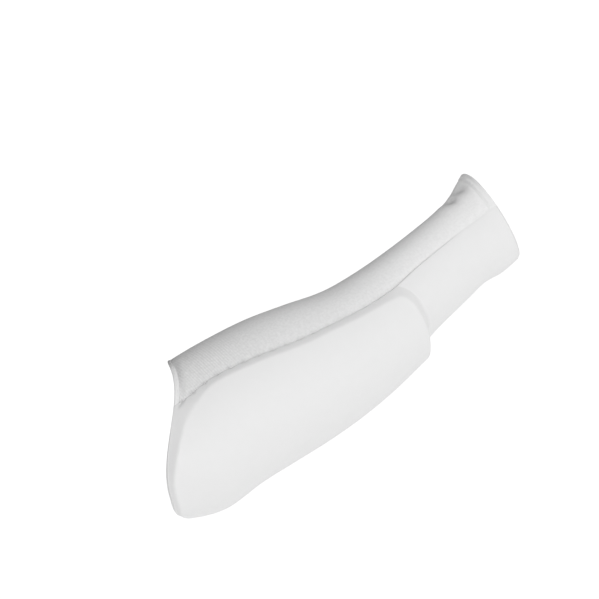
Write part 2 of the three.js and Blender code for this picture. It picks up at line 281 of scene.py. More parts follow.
# Stitches
SEAM_STITCH = {"pitch": 3.0, "length": 2.3, "radius": 0.2, "sink": 0.15}
HEM_STITCH = {"pitch": 3.1, "length": 2.3, "radius": 0.17, "sink": 0.2}
STITCH_SIDES = 6
STITCH_POINTS = 6
STITCH_RAISE = 0.8
STITCH_ARCH = 0.6
STITCH_TAPER = 2.5
STITCH_TIP = 0.35
SEAM_STITCH_INSET = 0.25
SEAM_STITCH_START = 3
SEAM_STITCH_END_X = WRIST_X - HEM_WIDTH - 1
SEAM_STITCH_SUNK = 0.3
SEAM_STITCH_SINKS_X = (70, 110)
WRIST_STITCH_INSET = 4.2
WRIST_STITCH_HEIGHTS = (-0.06, 0.14)
WRIST_STITCH_CLEAR = 2
ELBOW_STITCH_INSET = 2.2
ELBOW_STITCH_HEIGHT = -0.07
ELBOW_STITCH_CLEAR = 1.5
PATH_POINTS = 400

# Painted shade: places beside the hems, in the folds and at the thread's pulls, where a cloth's colour is
# darkened for shade
PAINTED_RIM_SHADE = 0.13
PAINTED_RIM_SHADE_RAMP = (2.5, 9)
PAINTED_RIM_SHADE_UP = (0.45, 0.75)
PAINTED_FOLD_SHADE = 0.07
PAINTED_FOLD_SHADE_SHIFT = 1
PAINTED_DIMPLE_SHADE = 0.1
PAINTED_DIMPLE_SHADE_WIDTH = 1.3
PAINTED_CREST_SHADE = 0.1
PAINTED_TIP_SHADE = 0.22
PAINTED_TIP_SHADE_UP = (0.84, 0.95)

# Cloths: constants of the shader, then strength and depth of the bump
CLOTHS = {
    "ribbed_knit": {"grey": 0.86, "roughness": 0.95, "sheen": 0.05, "bump": 0.25, "bump_mm": 0.2},
    "smooth_jersey": {"grey": 0.88, "roughness": 0.9, "sheen": 0.05, "bump": 0.12, "bump_mm": 0.1},
    "turned_hem": {"grey": 0.89, "roughness": 0.92, "sheen": 0.05, "bump": 0.2, "bump_mm": 0.15},
    "white_foam": {"grey": 0.88, "roughness": 0.9, "sheen": 0.0, "bump": 0.4, "bump_mm": 0.3},
    "white_thread": {"grey": 0.9, "roughness": 0.7, "sheen": 0.1, "bump": 0.3, "bump_mm": 0.1},
}
SHEEN_ROUGHNESS = 0.5
SPECULAR = 0.2

# Greys and grain of the cloths. The knit's pairs are values towards the elbow and towards the wrist; the knit's
# grey is darker towards the elbow as painted shade
KNIT_GREY_X = (-60, 80)
KNIT_GREY_AND_PAINTED_SHADE = (0.83, 0.91)
KNIT_MOTTLE = (0.2, 0.13)
# Painted shade in the valleys between the ribs, towards the elbow and towards the wrist
KNIT_RIB_PAINTED_SHADE = (0.05, 0.005)
KNIT_RIB_BUMP = (0.5, 0.08)
RIB_WOBBLE = 0.4
RIB_MIDDLE = 0.6
PATCH_SCALE = 110
PATCH_GAIN = 2.0
KNIT_GRAIN_SCALE = 600
KNIT_FUZZ_SCALE = 1500
COVER_GREY = 0.865
COVER_MOTTLE = 0.02
COVER_GRAIN_SCALE = 160
COVER_GRAIN_DETAIL = 4
WALE_PITCH = 0.75
COURSE_PITCH = 0.6
WEAVE_WOBBLE = 0.6
WEAVE_SHADE = 0.012
HEM_GREY = 0.88
HEM_MOTTLE = 0.03
HEM_GRAIN_SCALE = 500
HEM_FUZZ_SCALE = 1700
FOAM_GREY = 0.82
CELL_SHADE = 0.08
CELL_SCALE = 900.0
THREAD_GREY = 0.86
TWIST_SHADE = 0.05
TWIST_PITCH = 0.5
NOISE_MIDDLE = 0.5
FINE_DETAIL = 3
WAVE_UNIT = 2 * math.pi / 20

# Floor that bends up into a wall, and light, in metres
FLOOR_Z = -0.6
FLOOR_HOLE = 0.02
WALL_RADIUS = 2.5
WALL_BEND = 0.5
WALL_TOP = 0.6
BEND_STEPS = 8
BOWL_STEP = 5
FLOOR_GREY = 0.12
GLOW = (0.82, 0.98)
WORLD_GREY = 0.05
LAMP_SIZE = (2.6, 2.4)
LAMP_STRENGTH = 1.40
LAMP_ELEVATION = 40
LAMP_DISTANCE = 2.2

# Picture taken from the front, a little to the elbow's side, with the wrist end up to the right
PICTURE = 599
MM_PER_PIXEL = 0.65
CAMERA_AZIMUTH = -16
CAMERA_ROLL = 35
ORIGIN_PIXEL = (330, 340)
CAMERA_DISTANCE = 1.2


def column(table, name):
    """Smooth curve through one column of a table, over the table's x."""
    xs = np.array([row["x"] for row in table], float)
    ys = np.array([row[name] for row in table], float)
    secants = np.diff(ys) / np.diff(xs)
    slopes = np.concatenate([secants[:1], (secants[1:] + secants[:-1]) / 2, secants[-1:]])

    def value(x):
        x = np.clip(x, xs[0], xs[-1])
        i = np.clip(np.searchsorted(xs, x) - 1, 0, len(xs) - 2)
        step = xs[i + 1] - xs[i]
        t = (x - xs[i]) / step
        rest = 1 - t
        start = (1 + 2 * t) * rest**2 * ys[i] + t * rest**2 * step * slopes[i]
        end = (3 - 2 * t) * t**2 * ys[i + 1] - t**2 * rest * step * slopes[i + 1]
        return start + end

    return value


centre_z = column(SECTIONS, "centre_z")
half_height = column(SECTIONS, "half_height")
half_depth = column(SECTIONS, "half_depth")
front_seam = column(SEAMS, "front")
back_seam = column(SEAMS, "back")


def bell(distance):
    return np.exp(-0.5 * distance**2)


def smoothstep(value, low, high):
    t = np.clip((value - low) / (high - low), 0, 1)
    return t * t * (3 - 2 * t)


def fade(value, ramp):
    """1 before the ramp and 0 after it."""
    return 1 - smoothstep(value, *ramp)


def lerp(a, b, t):
    return a + (b - a) * t


def shares(count, pull=0.0):
    """Shares from 0 to 1, gathered at both ends by the pull."""
    u = np.linspace(0, 1, count + 1)
    return u - pull * np.sin(2 * np.pi * u) / (2 * np.pi)


def wrapped(angle):
    """Angle between -180 and 180."""
    return (angle + 180) % 360 - 180


def unbroken(angle):
    """Angle between -120 and 240, which runs on without a jump across both seams."""
    return wrapped(angle - TURN_MIDDLE) + TURN_MIDDLE


def upward(angle):
    """1 at the top of the sleeve, 0 at the front and the back, -1 underneath."""
    return np.sin(np.radians(angle))


def fold_depth(x, angle):
    depth = 0
    for fold in FOLDS:
        away = angle - fold["angle"]
        across = bell((x - fold["x"] - fold["lean"] * away) / fold["width"])
        depth = depth + fold["depth"] * across * bell(away / fold["spread"])
    return depth


def place(x, angle, height):
    """Points at a height above the sleeve's outside."""
    x, angle, height = np.broadcast_arrays(x, angle, height)
    turn = np.radians(angle)
    tall, deep = half_height(x), half_depth(x)
    out_y, out_z = -tall * np.cos(turn), deep * np.sin(turn)
    bulge = BULGE * bell((angle - BULGE_ANGLE) / BULGE_SPREAD)
    lift = (height + bulge - fold_depth(x, angle)) / np.hypot(out_y, out_z)
    y = -deep * np.cos(turn) + lift * out_y
    z = centre_z(x) + tall * np.sin(turn) + lift * out_z
    return np.stack([x, y, z], -1)


def girth_radius(x):
    return np.hypot(half_height(x), half_depth(x)) / math.sqrt(2)


def tongue_reach(angle):
    return TONGUE * np.exp(-0.5 * np.abs(wrapped(angle - TONGUE_ANGLE) / TONGUE_SPREAD) ** TONGUE_POWER)


def top_reach(angle):
    return TOP_REACH * bell(wrapped(angle - TOP_ANGLE) / TOP_SPREAD)


def elbow_rim(angle):
    return OPEN_X - tongue_reach(angle) - top_reach(angle)


def rim_slope(x, angle):
    """How far the elbow rim runs along the sleeve for each millimetre round it."""
    turn = wrapped(angle - TONGUE_ANGLE) / TONGUE_SPREAD
    steep = TONGUE_POWER / 2 * np.sign(turn) * np.abs(turn) ** (TONGUE_POWER - 1)
    per_degree = tongue_reach(angle) * steep / TONGUE_SPREAD
    per_degree = per_degree + top_reach(angle) * wrapped(angle - TOP_ANGLE) / TOP_SPREAD**2
    return np.degrees(per_degree) / girth_radius(x)


def inside_rim(x, angle):
    """Distance in from the elbow rim."""
    return np.maximum(x - elbow_rim(angle), 0) / np.hypot(1, rim_slope(x, angle))


def from_elbow(angle, inset):
    rim = elbow_rim(angle)
    return rim + inset * np.hypot(1, rim_slope(rim, angle))


def from_wrist(angle, inset):
    return WRIST_X + WRIST_TILT * upward(angle) - inset


def waves(x, angle, length, seed):
    """Low soft unevenness of about -1 to 1, with waves of about the given length."""
    rng = np.random.default_rng(seed)
    around = np.radians(angle) * WAVE_GIRTH
    total = 0
    for _ in range(WAVE_COUNT):
        direction = rng.uniform(0, 2 * np.pi)
        pitch = length * rng.uniform(*WAVE_LENGTHS)
        phase = rng.uniform(0, 2 * np.pi)
        run = x * np.cos(direction) + around * np.sin(direction)
        total = total + np.sin(2 * np.pi * run / pitch + phase)
    return total / WAVE_COUNT


def unevenness(x, angle, table):
    """Sum of the waves of a table."""
    total = 0
    for row in table:
        total = total + row["height"] * waves(x, angle, row["length"], row["seed"])
    return total


def pad_end(angle):
    """Wrist end of the pad, which is shorter underneath."""
    return PAD_END_X - END_SLANT * smoothstep(-angle, *END_ANGLES_DOWN)


def climb(x, angle):
    """Shares of the slope climbed from the nearer side and the nearer end, and the length of the slope."""
    arc = np.radians(1) * girth_radius(x)
    middle = smoothstep(x, *FRONT_STEEPENS_X) - smoothstep(x, *FRONT_EASES_X)
    front_run = lerp(FRONT_END_RUN, FRONT_RUN, middle)
    front = (front_seam(x) - angle) * arc / front_run
    back = (angle - back_seam(x)) * arc / SIDE_RUN
    elbow_run = lerp(ELBOW_RUN, CORNER_RUN, smoothstep(angle, *CORNER_RUN_ANGLES))
    elbow = (inside_rim(x, angle) + ELBOW_START) / elbow_run
    wrist = (pad_end(angle) - x) / END_RUN
    wrist = np.where(np.abs(wrist) < FOOT, (wrist + FOOT) ** 2 / (4 * FOOT), np.maximum(wrist, 0))
    side, end = np.minimum(front, back), np.minimum(wrist, elbow)
    side_run = np.where(front < back, front_run, SIDE_RUN)
    end_run = np.where(wrist < elbow, END_RUN, elbow_run)
    return side, end, lerp(side_run, end_run, smoothstep(side - end, *RUN_BLEND))


def rise(x, angle):
    """Share of the pad's height that the cover has reached: 0 at the seams, 1 on the face."""
    side, end, run = climb(x, angle)
    side, end = np.maximum(side, LEAST_CLIMB), np.maximum(end, LEAST_CLIMB)
    full = (side**-CORNER_POWER + end**-CORNER_POWER) ** (-1 / CORNER_POWER)
    cut = PAD_CORNER - np.hypot(np.maximum(PAD_CORNER - side, 0), np.maximum(PAD_CORNER - end, 0))
    cut = np.where((side < PAD_CORNER) & (end < PAD_CORNER), cut, np.minimum(side, end))
    slope = np.where((x < 0) & (angle > TONGUE_ANGLE), full, np.maximum(cut, 0))
    soft = SHOULDER / run
    blend = np.maximum(soft - np.abs(slope - 1), 0) / soft
    return np.minimum(slope, 1) - blend**2 * soft / 4


def pad_top(x, angle):
    """Height of the pad's face."""
    share = (front_seam(x) - angle) / (front_seam(x) - back_seam(x))
    full = lerp(PAD_FRONT, PAD_TOP, smoothstep(share, 0, FULL_SHARE)) - COVER_TOP
    inset = inside_rim(x, angle)
    low = lerp(ELBOW_SHARE, CORNER_SHARE, smoothstep(angle, *CORNER_ANGLES))
    upper = lerp(low, 1, smoothstep(inset, 0, ELBOW_FULL))
    under = 1 - (1 - UNDER_SHARE) * np.maximum(1 - inset / UNDER_FULL, 0) ** 2
    return COVER_TOP + full * lerp(upper, under, smoothstep(-angle, *UNDER_ANGLES_DOWN))


def on_wrist(x):
    return smoothstep(x, *ON_WRIST_X)


def seam_distance(x, angle):
    """Distance inside the cover from its nearer seam, negative on the knitted side."""
    front = front_seam(x) - angle
    back = angle - back_seam(x)
    return np.radians(np.minimum(front, back)) * girth_radius(x)


def dimple(x):
    """Pulls of the thread along the seams, 1 at each of them, towards the elbow."""
    away = (x - DIMPLE_X + DIMPLE_PITCH / 2) % DIMPLE_PITCH - DIMPLE_PITCH / 2
    return bell(away / DIMPLE_WIDTH) * fade(x, DIMPLES_FADE_X)


def groove_depth(x):
    pad = GROOVE_PAD + DIMPLE_DEPTH * dimple(x)
    return lerp(pad, GROOVE_WRIST * fade(x, FLUSH_X), on_wrist(x))


def hem_level(inset):
    """Height of the elbow hem at a distance in from the rim, met by the cover's corners."""
    outer = sorted(ELBOW_HEM_PROFILE[:HEM_OUTER_POINTS])
    return np.interp(inset, [row[0] for row in outer], [row[1] for row in outer])


def cover_height(x, angle):
    """Outside of the cover: rolled edges at the seams, the slope and the pad's face."""
    base = lerp(COVER_TOP, lerp(WRIST_COVER, WRIST_FLUSH, smoothstep(x, *FLUSH_X)), on_wrist(x))
    inset = inside_rim(x, angle)
    base = lerp(HEM_TOP, base, smoothstep(inset, *HEM_TOP_RAMP))
    height = base + (pad_top(x, angle) - base) * rise(x, angle)
    inside = np.maximum(seam_distance(x, angle), 0)
    height = height + unevenness(x, angle, COVER_WAVES) * smoothstep(inside, 0, COVER_CALM)
    roll_width = lerp(HEM_ROLL, EDGE_ROLL * (1 + dimple(x)), smoothstep(inset, *EDGE_ROLL_RAMP))
    roll = np.exp(-(inside / roll_width) ** 2)
    sewn_edge = EDGE_TOP - EDGE_DROP * smoothstep(x, *EDGE_DROP_X) - groove_depth(x)
    edge = lerp(hem_level(inset), sewn_edge, smoothstep(inset, *SEWN_RAMP))
    turned = TURNED_DROP * fade(from_wrist(angle, 0) - x, TURNED_RAMP)
    return height - (base - edge) * roll - turned


def rib_profile(x):
    """Rounded ribs with narrow valleys, from -1 in a valley to about 0.6 on a rib."""
    phase = np.abs(np.sin(np.pi * x / RIB_PITCH))
    return RIB_SWING * phase**RIB_POWER - 1


def sleeve_height(x, angle):
    """Outside of the knitted tube: ribs, waves, grooves at the seams, drops under the cover and the hems."""
    inside = seam_distance(x, unbroken(angle))
    knit = np.maximum(-inside, 0)
    groove_width = GROOVE_WIDTH * (1 + DIMPLE_WIDENS * dimple(x))
    groove = groove_depth(x) * np.exp(-(knit / groove_width) ** 2)
    hidden = UNDER_DROP * smoothstep(inside, *UNDER_RAMP)
    elbow, wrist = inside_rim(x, angle), from_wrist(angle, 0) - x
    valley = HEM_VALLEY * fade(upward(angle), HEM_VALLEY_ENDS)
    hemmed = valley * fade(elbow, HEM_VALLEY_RAMP) + ELBOW_TUCK * fade(elbow, ELBOW_TUCK_RAMP)
    hemmed = hemmed + WRIST_VALLEY * fade(wrist, WRIST_VALLEY_RAMP)
    hemmed = hemmed + WRIST_TUCK * fade(wrist, WRIST_TUCK_RAMP)
    ribs = RIB_ELBOW * fade(x, RIBS_FADE_X) * rib_profile(x) * smoothstep(knit, *RIBS_FROM_SEAM)
    ribs = ribs * smoothstep(np.minimum(elbow, wrist), *RIBS_FROM_HEM)
    uneven = unevenness(x, angle, KNIT_WAVES) * smoothstep(knit, 0, KNIT_CALM)
    return np.maximum(ribs + uneven - groove - hidden - hemmed, THINNEST - SLEEVE_WALL)


# Painted shade at the pulls of the thread along the seams, on the knit and on the cover
def dimple_painted_shade(x, angle):
    return PAINTED_DIMPLE_SHADE * dimple(x) * bell(seam_distance(x, angle) / PAINTED_DIMPLE_SHADE_WIDTH)


def knit_painted_shade(x, angle):
    """Painted shade of the knit: darker beside the elbow hem, in the folds and at the pulls of the thread."""
    # Painted shade on the knit beside the upper part of the elbow hem
    beside = PAINTED_RIM_SHADE * fade(inside_rim(x, angle), PAINTED_RIM_SHADE_RAMP) * smoothstep(upward(angle), *PAINTED_RIM_SHADE_UP)
    # Painted shade in the folds at the wrist
    folded = PAINTED_FOLD_SHADE * np.maximum(fold_depth(x + PAINTED_FOLD_SHADE_SHIFT, angle), 0)
    return beside + folded + dimple_painted_shade(x, unbroken(angle))


def grid_quads(rows, columns, ring, first=0, flip=False):
    """Quads over a grid of points, with the columns closed to a ring if asked."""
    spans = columns if ring else columns - 1
    i, j = np.meshgrid(np.arange(rows - 1), np.arange(spans), indexing="ij")
    here, below = i * columns, (i + 1) * columns
    after = (j + 1) % columns
    quads = np.stack([here + j, below + j, below + after, here + after], -1)
    quads = quads.reshape(-1, 4) + first
    return quads[:, ::-1] if flip else quads


def joining_faces(fine, coarse, step):
    """Faces between an edge of many points and one with a point for every step of them."""
    faces = []
    for k in range(len(coarse) - 1):
        faces.append((*fine[k * step:(k + 1) * step + 1], coarse[k + 1], coarse[k]))
    return faces


def tube_faces(count, around, ring, first=0):
    """Faces of a tube through loops of points, closed to a ring or with flat ends."""
    j = np.arange(around)
    after = (j + 1) % around
    faces = []
    for i in range(count if ring else count - 1):
        a, b = first + i * around, first + (i + 1) % count * around
        faces += np.stack([a + j, a + after, b + after, b + j], -1).tolist()
    if not ring:
        faces.append((first + j[::-1]).tolist())
        faces.append((first + (count - 1) * around + j).tolist())
    return faces


def new_object(name, points, faces, cloth=None, painted_shade=None):
    """Smooth mesh with, where given, each point's place on the flat cloth and the painted shade that darkens
    its colour.
    """
    mesh = bpy.data.meshes.new(name)
    mesh.from_pydata((points * MM).tolist(), [], faces)
    mesh.update()
    mesh.polygons.foreach_set("use_smooth", [True] * len(mesh.polygons))
    if cloth is not None:
        attribute = mesh.attributes.new("cloth", "FLOAT_VECTOR", "POINT")
        attribute.data.foreach_set("vector", (cloth * MM).astype(np.float32).ravel())
    # Painted shade: how much darker each point's colour is made
    if painted_shade is not None:
        attribute = mesh.attributes.new("painted_shade", "FLOAT", "POINT")
        attribute.data.foreach_set("value", painted_shade.astype(np.float32).ravel())
    mesh.validate()
    made = bpy.data.objects.new(name, mesh)
    bpy.context.scene.collection.objects.link(made)
    return made


def shell(name, outside, inside, step, ring, cloth=None, painted_shade=None):
    """Closed shell between a fine outside grid and an inside grid with every step-th row and column."""
    rows, columns = outside.shape[:2]
    inner_rows, inner_columns = inside.shape[:2]
    first, hidden = rows * columns, inner_rows * inner_columns
    faces = grid_quads(rows, columns, ring).tolist()
    faces += grid_quads(inner_rows, inner_columns, ring, first, True).tolist()
    outer_index = np.arange(first).reshape(rows, columns)
    inner_index = first + np.arange(hidden).reshape(inner_rows, inner_columns)
    if ring:
        outer_index = np.concatenate([outer_index, outer_index[:, :1]], 1)
        inner_index = np.concatenate([inner_index, inner_index[:, :1]], 1)
    faces += joining_faces(outer_index[0, ::-1], inner_index[0, ::-1], step)
    faces += joining_faces(outer_index[-1], inner_index[-1], step)
    if not ring:
        faces += joining_faces(outer_index[:, 0], inner_index[:, 0], step)
        faces += joining_faces(outer_index[::-1, -1], inner_index[::-1, -1], step)
    points = np.concatenate([outside.reshape(-1, 3), inside.reshape(-1, 3)])
    if cloth is not None:
        cloth = np.concatenate([cloth.reshape(-1, 3), np.zeros((hidden, 3))])
    if painted_shade is not None:
        painted_shade = np.concatenate([painted_shade.ravel(), np.zeros(hidden)])
    return new_object(name, points, faces, cloth, painted_shade)


def panel_angle(x, share):
    """Angle for a share across the cover, from the back seam to the front seam."""
    return lerp(back_seam(x), front_seam(x), share)


def knit_angle(x, share):
    """Angle for a share across the knit, from the front seam over the top to the back seam."""
    return lerp(front_seam(x), back_seam(x) + 360, share)


def sleeve_angle(x, share):
    """Angle for a share once round the sleeve: 0 to 1 over the knit, 1 to 2 under the cover."""
    under = knit_angle(x, 1) + (share - 1) * (front_seam(x) - back_seam(x))
    return np.where(share < 1, knit_angle(x, share), under)


def line_start(angle_at, share, inset):
    """Where a line along the cloth reaches an inset from the elbow rim."""
    x = np.full_like(share, OPEN_X)
    for _ in range(RIM_STEPS):
        x = from_elbow(angle_at(x, share), inset)
    return x


def seam_start(share, inset):
    """Where a seam, at a share of 0 or 1 across the cover, reaches an inset from the elbow rim."""
    return line_start(panel_angle, np.array([share]), inset)[0]


def make_sleeve():
    knit = shares(KNIT_COLUMNS, KNIT_PULL)[:-1]
    hidden = shares(HIDDEN_COLUMNS)[:-1]
    share = np.concatenate([knit, 1 + hidden])
    start = line_start(sleeve_angle, share, SLEEVE_INSET)
    end = from_wrist(sleeve_angle(WRIST_X, share), SLEEVE_INSET)
    rib_rows = int((RIB_END_X - RIB_START_X) / RIB_PITCH * ROWS_PER_RIB / SLEEVE_STEP) * SLEEVE_STEP
    stretched = lerp(start, RIB_START_X, shares(STRETCHED_ROWS)[:-1, None])
    ribbed = lerp(RIB_START_X, RIB_END_X, shares(rib_rows)[:-1, None]) + 0 * share
    plain = lerp(RIB_END_X, end, shares(PLAIN_ROWS)[:, None])
    rows = np.concatenate([stretched, ribbed, plain])
    angle = sleeve_angle(rows, share)
    outside = place(rows, angle, sleeve_height(rows, angle))
    inner = np.s_[::SLEEVE_STEP, ::SLEEVE_STEP]
    inside = place(rows[inner], angle[inner], -SLEEVE_WALL)
    return shell("knit_sleeve", outside, inside, SLEEVE_STEP, True, None, knit_painted_shade(rows, angle))


def cover_nose(share, top):
    """Rows and heights round the cover's elbow edge, from the sleeve's inside up to the cover's top."""
    rows, heights = [], []
    middle = lerp(-SLEEVE_WALL, top, 0.5)
    for turn in np.linspace(-math.pi / 2, math.pi / 2, NOSE_ROWS + 1)[:-1]:
        reach = NOSE if turn > 0 else COVER_WALL
        inset = reach * (1 - np.cos(turn) ** NOSE_ROUND)
        lift = np.sign(np.sin(turn)) * abs(np.sin(turn)) ** NOSE_LIFT
        rows.append(line_start(panel_angle, share, inset))
        heights.append(middle + (top - middle) * lift)
    return np.array(rows), np.array(heights)


def cover_inside(rows, angle, height):
    """Inside of the cover, a wall below its outside, and down at the sleeve's inside round the elbow edge."""
    nose = np.linspace(1, 0, NOSE_ROWS + 1)[:-1]
    reached = np.concatenate([nose, np.zeros(len(rows) - NOSE_ROWS)])[:, None]
    inner_rows = rows + COVER_WALL * (1 - smoothstep(rows - rows[NOSE_ROWS], 0, NOSE_RUN))
    lowest = lerp(-SLEEVE_WALL, COVER_LOWEST, 1 - reached)
    under = np.maximum(height - COVER_WALL * COVER_UNDER_WALLS, lowest)
    under = np.minimum(under, height - COVER_THINNEST)
    inner = np.s_[::COVER_STEP, ::COVER_STEP]
    return place(inner_rows[inner], angle[inner], under[inner])


def make_cover():
    share = shares(COVER_COLUMNS, SIDE_PULL)
    foot = pad_end(panel_angle(PAD_END_X, share)) + COVER_FOOT
    wrist_end = from_wrist(panel_angle(WRIST_X, share), COVER_END)
    top_x = line_start(panel_angle, share, NOSE)
    nose_rows, nose_heights = cover_nose(share, cover_height(top_x, panel_angle(top_x, share)))
    over_pad = lerp(top_x, foot, shares(COVER_ROWS, END_PULL)[:, None])
    to_wrist = lerp(foot, wrist_end, shares(COVER_WRIST_ROWS)[1:, None])
    face = np.concatenate([over_pad, to_wrist])
    rows = np.concatenate([nose_rows, face])
    angle = panel_angle(rows, share)
    height = np.concatenate([nose_heights, cover_height(face, panel_angle(face, share))])
    outside = place(rows, angle, height)
    inside = cover_inside(rows, angle, height)
    cloth = np.stack([rows, np.radians(angle) * girth_radius(rows), height], -1)
    return shell("pad_cover_cloth", outside, inside, COVER_STEP, False, cloth, dimple_painted_shade(rows, angle))


def make_hem(name, angles, from_rim, profile_at, painted_shade_at, ring):
    """Turned edge of the knit: a folded loop of (inset, height) points swept along a rim."""
    angle = angles[:, None]
    inset, height = np.moveaxis(profile_at(angle[:, :, None]), -1, 0)
    x = from_rim(angle, inset)
    calm = np.minimum(np.abs(angle - angles[0]), np.abs(angle - angles[-1])) / HEM_CALM
    uneven = unevenness(x, angle, HEM_WAVES) * (1 if ring else smoothstep(calm, 0, 1))
    loops = place(x, angle, height + uneven * (height > HEM_INSIDE))
    faces = tube_faces(*loops.shape[:2], ring)
    return new_object(name, loops.reshape(-1, 3), faces, None, painted_shade_at(angle, inset))


def wrist_crest(angle):
    """How much the wrist hem rolls: 1 at the crest's angle and 0 well away from it."""
    return bell(wrapped(angle - CREST_ANGLE) / CREST_SPREAD)


def make_wrist_hem():
    angles = np.linspace(WRIST_HEM_START, WRIST_HEM_START + 360, WRIST_HEM_COLUMNS + 1)[:-1]

    def profile_at(angle):
        profile = lerp(np.array(WRIST_HEM_FRONT), np.array(WRIST_HEM_TOP), wrist_crest(angle))
        covered = smoothstep(seam_distance(WRIST_X, unbroken(angle[..., 0])), *COVERED_RAMP)
        outer = smoothstep(profile[..., 1], *COVERED_HEIGHTS)
        profile[..., 1] -= COVERED_DROP * covered * outer
        return profile

    def painted_shade_at(angle, inset):
        # Painted shade on either side of the wrist hem's crest
        return PAINTED_CREST_SHADE * wrist_crest(angle) * (1 - bell((inset - CREST_INSET) / CREST_WIDTH))

    return make_hem("wrist_hem_band", angles, from_wrist, profile_at, painted_shade_at, True)


def make_elbow_hem():
    first = front_seam(seam_start(1.0, 0)) + ELBOW_HEM_CLEAR
    last = back_seam(seam_start(0.0, 0)) + 360 - ELBOW_HEM_CLEAR
    angles = np.linspace(last, first, ELBOW_HEM_COLUMNS + 1)

    def profile_at(angle):
        return np.array(ELBOW_HEM_PROFILE) + 0 * angle

    def painted_shade_at(angle, inset):
        # Painted shade: the elbow hem darker towards the top of the sleeve
        return PAINTED_TIP_SHADE * smoothstep(upward(angle), *PAINTED_TIP_SHADE_UP) + 0 * inset

    return make_hem("elbow_hem_band", angles, from_elbow, profile_at, painted_shade_at, False)


def make_foam():
    """Foam sheet that fills the cover, thinner towards its front edge."""
    share = shares(FOAM_COLUMNS)
    elbow = lerp(FOAM_ELBOW, FOAM_ELBOW_FRONT, smoothstep(share, *FOAM_FRONT_SHARES))
    end = pad_end(panel_angle(PAD_END_X, share)) - FOAM_INSET
    x = lerp(line_start(panel_angle, share, elbow), end, shares(FOAM_ROWS, FOAM_PULL)[:, None])
    past = np.clip(FOAM_CORNER - (end - x), 0, FOAM_CORNER)
    inset = FOAM_INSET + FOAM_CORNER - np.sqrt(FOAM_CORNER**2 - past**2)
    behind = np.degrees(inset / girth_radius(x))
    before = np.degrees((inset + FOAM_FRONT - FOAM_INSET) / girth_radius(x))
    angle = lerp(back_seam(x) + behind, front_seam(x) - before, share)
    top = cover_height(x, angle) - FOAM_UNDER_WALLS * COVER_WALL - FOAM_GAP
    top = top + unevenness(x, angle, FOAM_WAVES)
    outside = place(x, angle, np.maximum(top, FOAM_LEAST_TOP))
    inside = place(x, angle, FOAM_BOTTOM)[::FOAM_STEP, ::FOAM_STEP]
    return shell("foam_core", outside, inside, FOAM_STEP, False)


class SeamPath:
    """Line along a seam of the cover, a little inside its edge."""

    def __init__(self, seam, inward, start_x):
        self.seam, self.inward, self.start_x = seam, inward, start_x
        self.length = SEAM_STITCH_END_X - start_x

    def __call__(self, t, lift):
        x = self.start_x + t
        angle = self.seam(x) + self.inward * np.degrees(SEAM_STITCH_INSET / girth_radius(x))
        sunk = SEAM_STITCH_SUNK * smoothstep(x, *SEAM_STITCH_SINKS_X)
        return place(x, angle, cover_height(x, angle) + lift - sunk)


class RimPath:
    """Line along a hem at an inset from its rim, at a height given for each angle."""

    def __init__(self, from_rim, inset, height_at, first, last):
        self.from_rim, self.inset, self.height_at = from_rim, inset, height_at
        self.angles = np.linspace(first, last, PATH_POINTS)
        points = place(from_rim(self.angles, inset), self.angles, height_at(self.angles))
        steps = np.linalg.norm(np.diff(points, axis=0), axis=1)
        self.run = np.concatenate([[0], np.cumsum(steps)])
        self.length = self.run[-1]

    def __call__(self, t, lift):
        angle = np.interp(t, self.run, self.angles)
        return place(self.from_rim(angle, self.inset), angle, self.height_at(angle) + lift)


def unit(vectors):
    return vectors / np.linalg.norm(vectors, axis=1)[:, None]


def stitch_row(path, pitch, length, radius, sink):
    """Stitches along a path, which gives the points at lengths t along it and a lift above the cloth."""
    loops = []
    turns = np.linspace(0, 2 * np.pi, STITCH_SIDES + 1)[:-1]
    arch = np.cos(np.linspace(-1, 1, STITCH_POINTS) * np.pi / 2)
    thin = radius * np.clip(arch * STITCH_TAPER, STITCH_TIP, 1)[:, None, None]
    for k in range(int(path.length / pitch)):
        t = (k + 0.5) * pitch + np.linspace(-0.5, 0.5, STITCH_POINTS) * length
        centre = path(t, -sink + (sink + radius * STITCH_RAISE) * arch**STITCH_ARCH)
        run = np.gradient(centre, axis=0)
        side = unit(np.cross(run, path(t, 1.0) - path(t, 0.0)))
        out = unit(np.cross(side, run))
        across = np.cos(turns)[None, :, None] * side[:, None, :]
        upright = np.sin(turns)[None, :, None] * out[:, None, :]
        loops.append(centre[:, None, :] + thin * (across + upright))
    return loops


def stitched_piece(name, loops):
    """One piece made of many short thread loops."""
    faces = []
    for k in range(len(loops)):
        faces += tube_faces(STITCH_POINTS, STITCH_SIDES, False, k * STITCH_POINTS * STITCH_SIDES)
    return new_object(name, np.concatenate(loops).reshape(-1, 3), faces)


def make_stitches():
    front_x, back_x = seam_start(1.0, SEAM_STITCH_START), seam_start(0.0, SEAM_STITCH_START)
    seam_loops = stitch_row(SeamPath(front_seam, -1, front_x), **SEAM_STITCH)
    seam_loops += stitch_row(SeamPath(back_seam, 1, back_x), **SEAM_STITCH)

    def wrist_height(angle):
        return lerp(*WRIST_STITCH_HEIGHTS, wrist_crest(angle))

    def elbow_height(angle):
        return ELBOW_STITCH_HEIGHT + 0 * angle

    first = front_seam(WRIST_X) + WRIST_STITCH_CLEAR
    last = back_seam(WRIST_X) + 360 - WRIST_STITCH_CLEAR
    wrist = RimPath(from_wrist, WRIST_STITCH_INSET, wrist_height, first, last)
    first = front_seam(front_x) + ELBOW_STITCH_CLEAR
    last = back_seam(back_x) + 360 - ELBOW_STITCH_CLEAR
    elbow = RimPath(from_elbow, ELBOW_STITCH_INSET, elbow_height, first, last)
    hem_loops = stitch_row(wrist, **HEM_STITCH) + stitch_row(elbow, **HEM_STITCH)
    return stitched_piece("seam_stitches", seam_loops), stitched_piece("hem_stitches", hem_loops)


